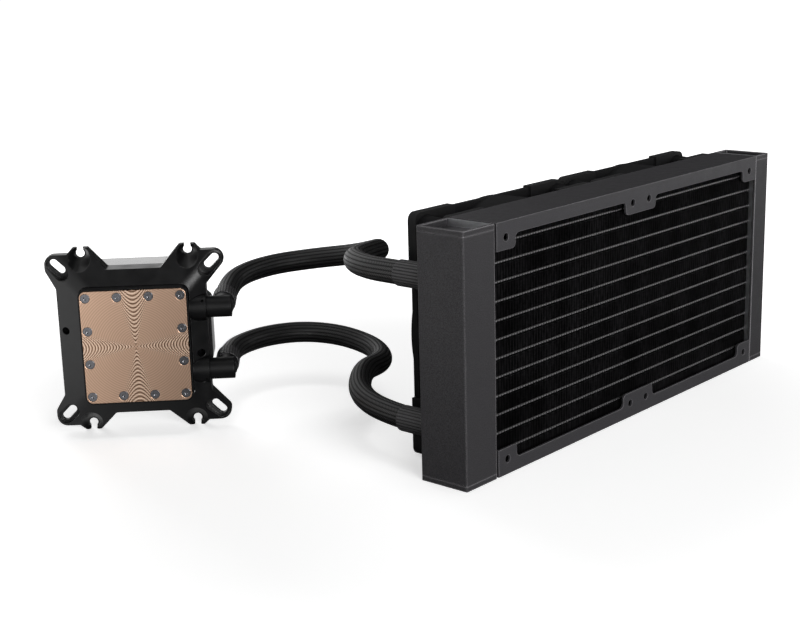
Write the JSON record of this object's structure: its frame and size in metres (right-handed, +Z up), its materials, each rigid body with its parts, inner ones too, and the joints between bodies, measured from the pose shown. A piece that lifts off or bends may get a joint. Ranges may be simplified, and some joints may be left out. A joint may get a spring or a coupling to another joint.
{
  "type": "all-in-one CPU liquid cooler",
  "caption": "All-in-one CPU liquid cooler: a black 240 mm radiator with two fans, two sleeved hoses and a pump block with a copper cold plate.",
  "frame": {"origin": "on the floor under the middle of the radiator's screw pattern, at half the radiator's thickness", "axes": "+X along the radiator, +Y from its bare front face to the fans, +Z up"},
  "size_m": [0.3365, 0.2374, 0.12],
  "materials": {
    "black_radiator_paint": "satin",
    "bare_aluminium": "satin",
    "black_fan_plastic": "matte",
    "black_bracket_plastic": "matte",
    "gloss_pump_plastic": "gloss",
    "black_rubber": "matte",
    "braided_sleeve": "matte",
    "machined_copper": "satin",
    "dark_steel": "satin",
    "steel": "satin",
    "magnet_ferrite": "matte",
    "copper_winding": "satin",
    "bronze_bearing": "satin",
    "board_green": "matte",
    "clear_grey_plastic": "satin",
    "white_ceramic": "gloss"
  },
  "bodies": {
    "cooler": {"left_tank": "black_radiator_paint", "right_tank": "black_radiator_paint", "left_tank_top_cap": "black_radiator_paint", "left_tank_bottom_cap": "black_radiator_paint", "right_tank_top_cap": "black_radiator_paint", "right_tank_bottom_cap": "black_radiator_paint", "left_header_plate": "bare_aluminium", "right_header_plate": "bare_aluminium", "left_tank_baffle": "bare_aluminium", "flat_tubes": "black_radiator_paint", "fin_rows": "black_radiator_paint", "bottom_side_plate": "black_radiator_paint", "top_side_plate": "black_radiator_paint", "upper_tank_fitting": "black_radiator_paint", "lower_tank_fitting": "black_radiator_paint", "left_fan_frame": "black_fan_plastic", "left_fan_corner_pads": "black_rubber", "left_fan_bearing": "bronze_bearing", "left_fan_stator": "copper_winding", "left_fan_circuit_board": "board_green", "right_fan_frame": "black_fan_plastic", "right_fan_corner_pads": "black_rubber", "right_fan_bearing": "bronze_bearing", "right_fan_stator": "copper_winding", "right_fan_circuit_board": "board_green", "fan_screws": "dark_steel", "mounting_bracket": "black_bracket_plastic", "cold_plate": "machined_copper", "cold_plate_screws": "dark_steel", "cold_plate_gasket": "black_rubber", "jet_plate": "clear_grey_plastic", "pump_body": "gloss_pump_plastic", "impeller_shaft": "white_ceramic", "rotor_cup": "clear_grey_plastic", "rotor_cup_seal": "black_rubber", "pump_stator": "copper_winding", "pump_circuit_board": "board_green", "pump_cover": "gloss_pump_plastic", "pump_cover_screws": "dark_steel", "bracket_screws": "dark_steel", "elbow_pins": "steel", "upper_hose": "braided_sleeve", "lower_hose": "braided_sleeve", "upper_tank_collar": "braided_sleeve", "lower_tank_collar": "braided_sleeve"},
    "left_fan_spinner": {"left_fan_rotor": "black_fan_plastic", "left_fan_yoke": "steel", "left_fan_magnet": "magnet_ferrite", "left_fan_shaft": "steel"},
    "right_fan_spinner": {"right_fan_rotor": "black_fan_plastic", "right_fan_yoke": "steel", "right_fan_magnet": "magnet_ferrite", "right_fan_shaft": "steel"},
    "pump_rotor": {"impeller": "magnet_ferrite"},
    "upper_swivel": {"upper_elbow": "black_bracket_plastic", "upper_elbow_seal": "black_rubber", "upper_block_collar": "braided_sleeve"},
    "lower_swivel": {"lower_elbow": "black_bracket_plastic", "lower_elbow_seal": "black_rubber", "lower_block_collar": "braided_sleeve"}
  },
  "joints": [
    {"name": "left_fan_spin", "type": "hinge", "parent": "cooler", "child": "left_fan_spinner", "pos_m": [-0.06, 0.026, 0.06], "axis": [0, 1, 0], "continuous": true},
    {"name": "right_fan_spin", "type": "hinge", "parent": "cooler", "child": "right_fan_spinner", "pos_m": [0.06, 0.026, 0.06], "axis": [0, 1, 0], "continuous": true},
    {"name": "impeller_spin", "type": "hinge", "parent": "cooler", "child": "pump_rotor", "pos_m": [-0.16714, 0.18216, 0.0482], "axis": [0.7071, 0.7071, 0], "continuous": true},
    {"name": "upper_elbow_swivel", "type": "hinge", "parent": "cooler", "child": "upper_swivel", "pos_m": [-0.15102, 0.15104, 0.06455], "axis": [0.7071, -0.7071, 0], "range_deg": [-12, 12], "deforming": ["upper_hose"]},
    {"name": "lower_elbow_swivel", "type": "hinge", "parent": "cooler", "child": "lower_swivel", "pos_m": [-0.15102, 0.15104, 0.03185], "axis": [0.7071, -0.7071, 0], "range_deg": [-12, 12], "deforming": ["lower_hose"]}
  ]
}
